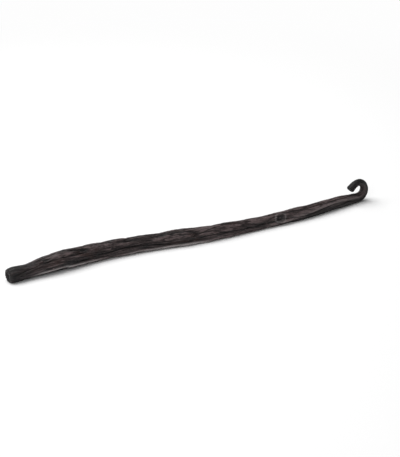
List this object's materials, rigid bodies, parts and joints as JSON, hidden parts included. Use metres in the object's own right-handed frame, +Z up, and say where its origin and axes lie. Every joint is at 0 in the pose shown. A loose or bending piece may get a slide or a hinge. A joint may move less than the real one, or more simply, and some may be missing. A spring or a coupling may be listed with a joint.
{
  "type": "vanilla pod",
  "caption": "Cured vanilla pod lying on its side: long, thin, wrinkled and gently curved, with a blunt dimpled end and a hooked stem end.",
  "frame": {"origin": "middle of the bounding box in plan, at the flat underside that the pod rests on", "axes": "+X along the pod towards the hooked stem end, +Y to the back, +Z up from the surface it rests on"},
  "size_m": [0.1596, 0.0124, 0.0095],
  "materials": {
    "pod_skin": "oily satin"
  },
  "bodies": {
    "root": {"vanilla_pod": "pod_skin"}
  },
  "joints": []
}
